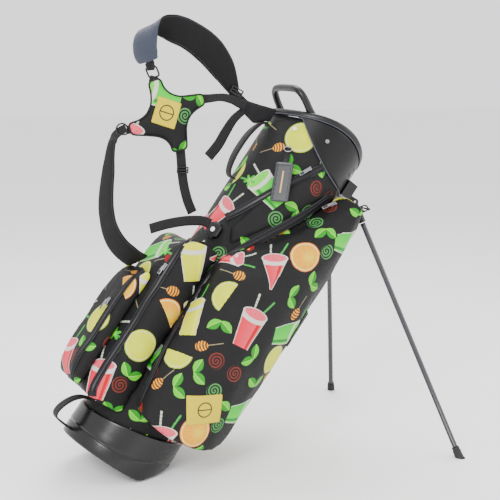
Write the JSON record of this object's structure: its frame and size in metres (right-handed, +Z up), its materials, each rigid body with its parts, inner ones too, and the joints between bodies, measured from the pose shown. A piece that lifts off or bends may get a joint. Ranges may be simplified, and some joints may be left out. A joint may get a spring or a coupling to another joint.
{
  "type": "golf stand bag",
  "caption": "Printed golf bag leaning on two splayed legs, with zipped pockets, moulded collar and base, padded shoulder harness and a hanging tag.",
  "frame": {"origin": "centre of the folding foot's sole, where it stands on the ground", "axes": "+Z up; +X from the strap side towards the legs; +Y across the bag, away from the near leg"},
  "size_m": [0.8395, 0.5768, 0.95],
  "materials": {
    "print_fabric": "matte printed polyester",
    "webbing": "flat woven nylon tape",
    "pad_fabric": "smooth laminated fabric over foam",
    "zip_tape": "woven tape with coil teeth",
    "patch": "embroidered patch",
    "collar_skin": "satin coated leathercloth",
    "moulded_black": "satin moulded",
    "boot_plastic": "satin gloss moulded",
    "foot_rubber": "matte",
    "leg_metal": "black anodised",
    "rod_metal": "black coated wire",
    "zip_metal": "polished",
    "pin_metal": "brushed",
    "snap_enamel": "gloss",
    "tag_card": "smooth card with stitched edge"
  },
  "bodies": {
    "bag": {"core_tube": "print_fabric", "collar": "collar_skin", "rim_lip": "moulded_black", "top_handle": "moulded_black", "club_divider": "moulded_black", "club_floor": "moulded_black", "base_boot": "boot_plastic", "boot_handle": "webbing", "side_pocket_near": "print_fabric", "side_pocket_far": "print_fabric", "ball_pocket_upper": "print_fabric", "ball_pocket_lower": "print_fabric", "slip_pocket": "print_fabric", "zip_side_near": "zip_tape", "zip_side_far": "zip_tape", "zip_slip": "zip_tape", "zip_ball_upper": "zip_tape", "zip_ball_lower": "zip_tape", "strap_keeper": "moulded_black", "badge_patch": "patch", "grab_handle": "webbing", "shoulder_pad_upper": "pad_fabric", "shoulder_pad_lower": "pad_fabric", "cross_pad": "print_fabric", "cross_patch": "patch", "webbing_upper": "webbing", "webbing_anchor": "webbing", "webbing_lower": "webbing", "strap_tail_upper": "webbing", "strap_tail_lower": "webbing", "harness_rings": "moulded_black", "side_release_buckle": "moulded_black", "ladder_adjusters": "moulded_black", "snap_buttons": "snap_enamel", "collar_rivets": "zip_metal", "stand_bracket": "moulded_black", "bracket_screws": "pin_metal", "leg_hinge_pins": "pin_metal", "foot_hinge_pin": "pin_metal"},
    "leg_near": {"leg_near_sleeve": "moulded_black", "leg_near_tube": "leg_metal", "leg_near_foot": "foot_rubber"},
    "leg_far": {"leg_far_sleeve": "moulded_black", "leg_far_tube": "leg_metal", "leg_far_foot": "foot_rubber"},
    "foot": {"foot_plate": "moulded_black", "foot_sole": "foot_rubber", "foot_eye_pin": "pin_metal"},
    "actuator": {"actuator_rod": "rod_metal"},
    "tag": {"tag_strap": "webbing", "hang_tag": "tag_card"},
    "slider_side": {"slider_side": "zip_metal"},
    "slider_slip": {"slider_slip": "zip_metal"},
    "slider_ball_upper": {"slider_ball_upper": "zip_metal"},
    "slider_ball_lower": {"slider_ball_lower": "zip_metal"},
    "pull_side": {"pull_side": "zip_metal"},
    "pull_slip": {"pull_slip": "zip_metal"},
    "pull_ball_upper": {"pull_ball_upper": "zip_metal"},
    "pull_ball_lower": {"pull_ball_lower": "zip_metal"}
  },
  "joints": [
    {"name": "leg_near_swing", "type": "hinge", "parent": "bag", "child": "leg_near", "pos_m": [0.49701, -0.057, 0.54539], "axis": [0.3578, 0.8949, -0.2667], "range_deg": [0, 54.8]},
    {"name": "leg_far_swing", "type": "hinge", "parent": "bag", "child": "leg_far", "pos_m": [0.49701, 0.057, 0.54539], "axis": [-0.3578, 0.8949, 0.2667], "range_deg": [0, 54.8]},
    {"name": "foot_fold", "type": "hinge", "parent": "bag", "child": "foot", "pos_m": [-0.038, 0, 0.01], "axis": [0, 1, 0], "range_deg": [0, 36.7]},
    {"name": "actuator_turn", "type": "hinge", "parent": "foot", "child": "actuator", "pos_m": [0.006, 0, 0.01], "axis": [0, 1, 0], "range_deg": [-38.07, 0]},
    {"name": "tag_swing", "type": "hinge", "parent": "bag", "child": "tag", "pos_m": [0.31833, -0.07954, 0.67608], "axis": [-0.5767, -0.6947, 0.4299], "range_deg": [-12, 12]},
    {"name": "slider_side_slide", "type": "slide", "parent": "bag", "child": "slider_side", "axis": [-0.9298, 0, -0.3681], "range_m": [0, 0.15]},
    {"name": "pull_side_lift", "type": "hinge", "parent": "slider_side", "child": "pull_side", "pos_m": [0.40402, -0.12532, 0.55819], "axis": [-0.2463, 0.7431, 0.6221], "range_deg": [0, 95]},
    {"name": "slider_slip_slide", "type": "slide", "parent": "bag", "child": "slider_slip", "axis": [-0.8913, 0.1215, -0.4369], "range_m": [0, 0.025]},
    {"name": "pull_slip_lift", "type": "hinge", "parent": "slider_slip", "child": "pull_slip", "pos_m": [0.34749, -0.11746, 0.63065], "axis": [-0.4032, 0.2285, 0.8861], "range_deg": [0, 95]},
    {"name": "slider_ball_upper_slide", "type": "slide", "parent": "bag", "child": "slider_ball_upper", "axis": [-0.5976, 0, -0.8018], "range_m": [0, 0.18]},
    {"name": "pull_ball_upper_lift", "type": "hinge", "parent": "slider_ball_upper", "child": "pull_ball_upper", "pos_m": [0.03506, -0.07071, 0.44196], "axis": [-0.4564, 0.8221, 0.3402], "range_deg": [0, 95]},
    {"name": "slider_ball_lower_slide", "type": "slide", "parent": "bag", "child": "slider_ball_lower", "axis": [-0.5976, 0, -0.8018], "range_m": [0, 0.1]},
    {"name": "pull_ball_lower_lift", "type": "hinge", "parent": "slider_ball_lower", "child": "pull_ball_lower", "pos_m": [-0.07556, -0.031, 0.37475], "axis": [0, 1, 0], "range_deg": [0, 95]}
  ],
  "couplings": [
    {"joint": "leg_far_swing", "follows": "leg_near_swing", "ratio": 1},
    {"joint": "foot_fold", "follows": "leg_near_swing", "ratio": 0.66971},
    {"joint": "actuator_turn", "follows": "leg_near_swing", "ratio": -0.69471}
  ]
}
